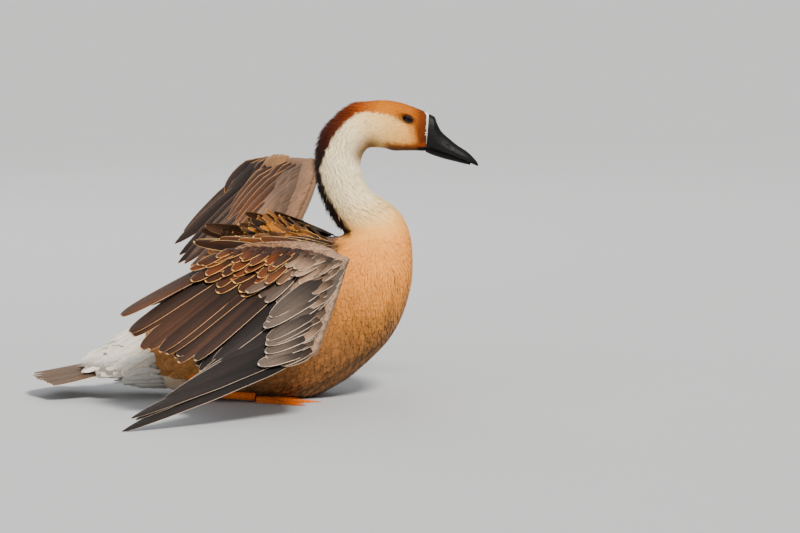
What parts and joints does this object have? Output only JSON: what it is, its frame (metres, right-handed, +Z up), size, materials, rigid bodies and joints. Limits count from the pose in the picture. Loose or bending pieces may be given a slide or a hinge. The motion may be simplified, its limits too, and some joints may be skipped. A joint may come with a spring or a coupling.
{
  "type": "swan goose figure",
  "caption": "Life-size goose resting on its belly with head raised, one wing half open and lowered, the other lifted, and its tail spread low.",
  "frame": {"origin": "on the flat of the belly, on the floor, under the middle of the body", "axes": "+X the way the bird faces, +Y its left, +Z up"},
  "size_m": [0.5836, 0.9523, 0.385],
  "materials": {
    "head plumage": "matt",
    "pale plumage": "matt",
    "body plumage": "matt",
    "wing feathers": "matt",
    "horn": "satin",
    "iris": "gloss",
    "leg skin": "satin"
  },
  "bodies": {
    "root": {"head": "head plumage", "bill_upper": "horn", "bill_lower": "horn", "eye_right": "iris", "eye_left": "iris", "neck_upper": "pale plumage", "neck_lower": "pale plumage", "torso": "body plumage", "tail": "wing feathers", "wing_right": "wing feathers", "wing_left": "wing feathers", "leg_right": "leg skin", "leg_left": "leg skin", "foot_right": "leg skin", "foot_left": "leg skin"}
  },
  "joints": []
}
